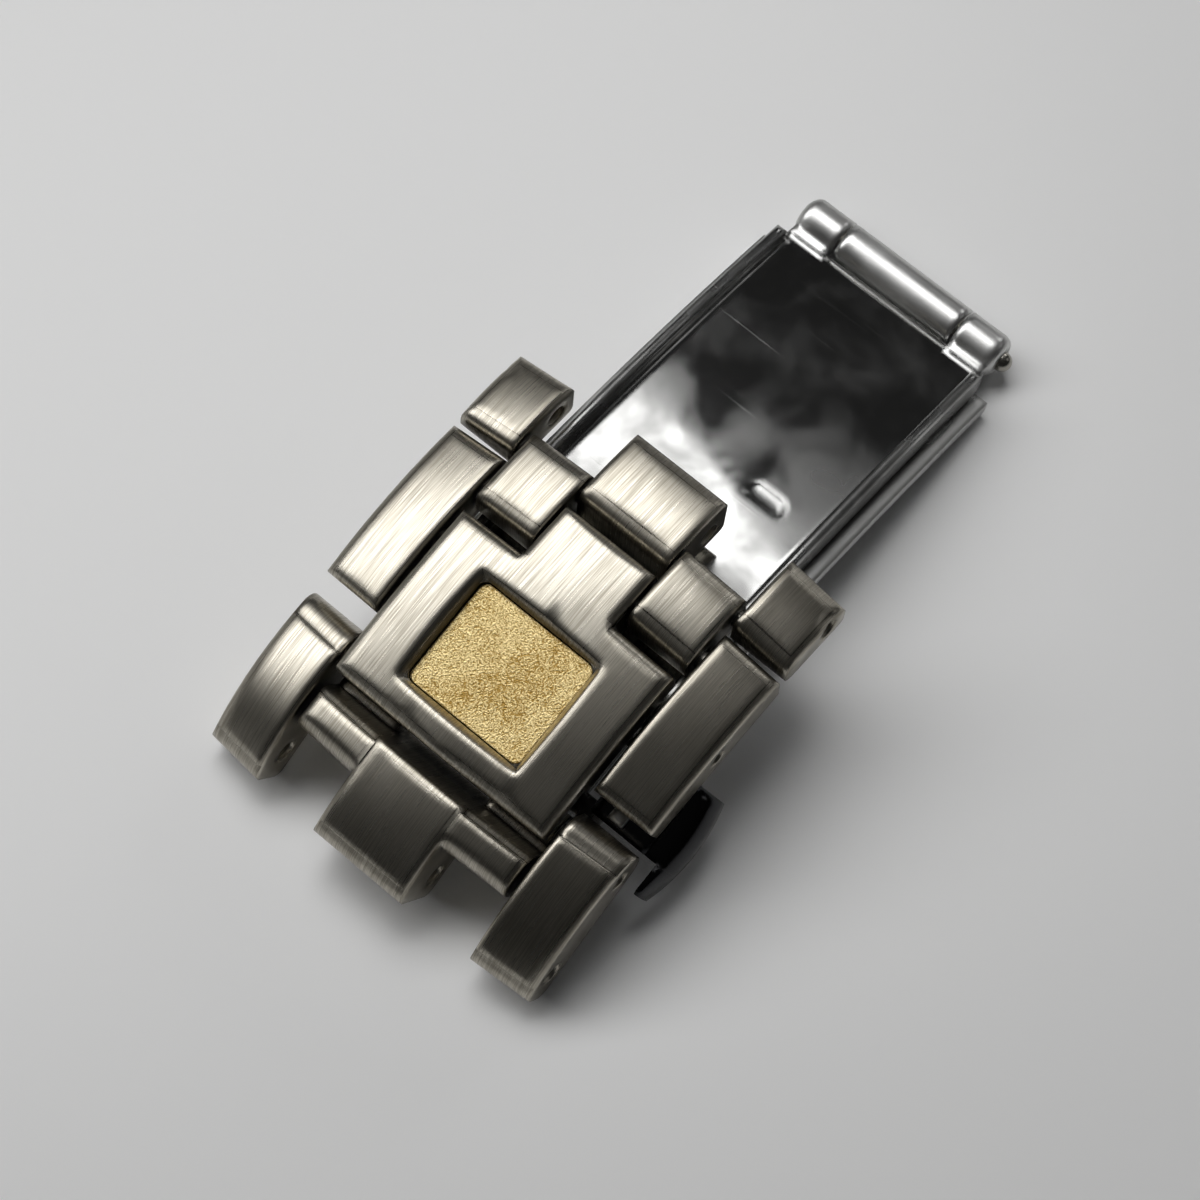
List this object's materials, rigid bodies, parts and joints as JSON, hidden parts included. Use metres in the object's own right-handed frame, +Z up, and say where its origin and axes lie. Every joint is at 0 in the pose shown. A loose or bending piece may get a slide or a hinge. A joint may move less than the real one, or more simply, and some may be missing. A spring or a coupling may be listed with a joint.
{
  "type": "watch clasp",
  "caption": "Folding clasp for a watch bracelet: link-shaped cover with a gold badge, pinned links at both ends, two arched leaves on a far hinge and a side pusher.",
  "frame": {"origin": "centre of the bare badge face on the cover", "axes": "+X along the bracelet towards the leaf hinge, +Y across it towards the side without the pusher, +Z up, away from the wrist"},
  "size_m": [0.0377, 0.0193, 0.0089],
  "materials": {
    "link_steel": "satin, brushed along the bracelet, softly rounded edges",
    "badge_gold": "gold, finely grained",
    "leaf_steel": "polished stainless steel with light wear",
    "pin_steel": "turned and polished stainless steel",
    "pusher_steel": "dark polished stainless steel"
  },
  "bodies": {
    "cover": {"cover_plate": "link_steel", "badge": "badge_gold", "side_link_left": "link_steel", "side_link_right": "link_steel", "carrier_left": "leaf_steel", "carrier_right": "leaf_steel", "cross_pin": "pin_steel", "row_pin_one": "pin_steel", "upper_leaf": "leaf_steel", "hinge_pin": "pin_steel", "pusher_guide": "leaf_steel"},
    "inner_row": {"inner_link_left": "link_steel", "inner_link_right": "link_steel", "row_pin_two": "pin_steel"},
    "centre_short": {"short_link_centre": "link_steel"},
    "left_short": {"short_link_left": "link_steel"},
    "right_short": {"short_link_right": "link_steel"},
    "leaf": {"lower_leaf": "leaf_steel", "end_pin": "pin_steel"},
    "centre_end": {"end_link_centre": "link_steel"},
    "left_end": {"end_link_left": "link_steel"},
    "right_end": {"end_link_right": "link_steel"},
    "push_piece": {"pusher": "pusher_steel"}
  },
  "joints": [
    {"name": "leaf_hinge", "type": "hinge", "parent": "cover", "child": "leaf", "pos_m": [0.02736, 0, -0.00595], "axis": [0, -1, 0], "range_deg": [0, 170]},
    {"name": "inner_row_hinge", "type": "hinge", "parent": "cover", "child": "inner_row", "pos_m": [0.00595, 0, -0.00027], "axis": [0, -1, 0], "range_deg": [0, 30]},
    {"name": "centre_short_hinge", "type": "hinge", "parent": "inner_row", "child": "centre_short", "pos_m": [0.00833, 0, -0.00028], "axis": [0, -1, 0], "range_deg": [0, 35]},
    {"name": "left_short_hinge", "type": "hinge", "parent": "inner_row", "child": "left_short", "pos_m": [0.00833, 0.0075, -0.00028], "axis": [0, -1, 0], "range_deg": [0, 25]},
    {"name": "right_short_hinge", "type": "hinge", "parent": "inner_row", "child": "right_short", "pos_m": [0.00833, -0.0075, -0.00028], "axis": [0, -1, 0], "range_deg": [0, 25]},
    {"name": "centre_end_hinge", "type": "hinge", "parent": "leaf", "child": "centre_end", "pos_m": [-0.00294, 0, -0.00293], "axis": [0, -1, 0], "range_deg": [0, 35]},
    {"name": "left_end_hinge", "type": "hinge", "parent": "leaf", "child": "left_end", "pos_m": [-0.00294, 0.0075, -0.00293], "axis": [0, -1, 0], "range_deg": [0, 55]},
    {"name": "right_end_hinge", "type": "hinge", "parent": "leaf", "child": "right_end", "pos_m": [-0.00294, -0.0075, -0.00293], "axis": [0, -1, 0], "range_deg": [0, 55]},
    {"name": "pusher_slide", "type": "slide", "parent": "cover", "child": "push_piece", "axis": [0, 1, 0], "range_m": [0, 0.0005], "stiffness_N_per_m": 400}
  ]
}
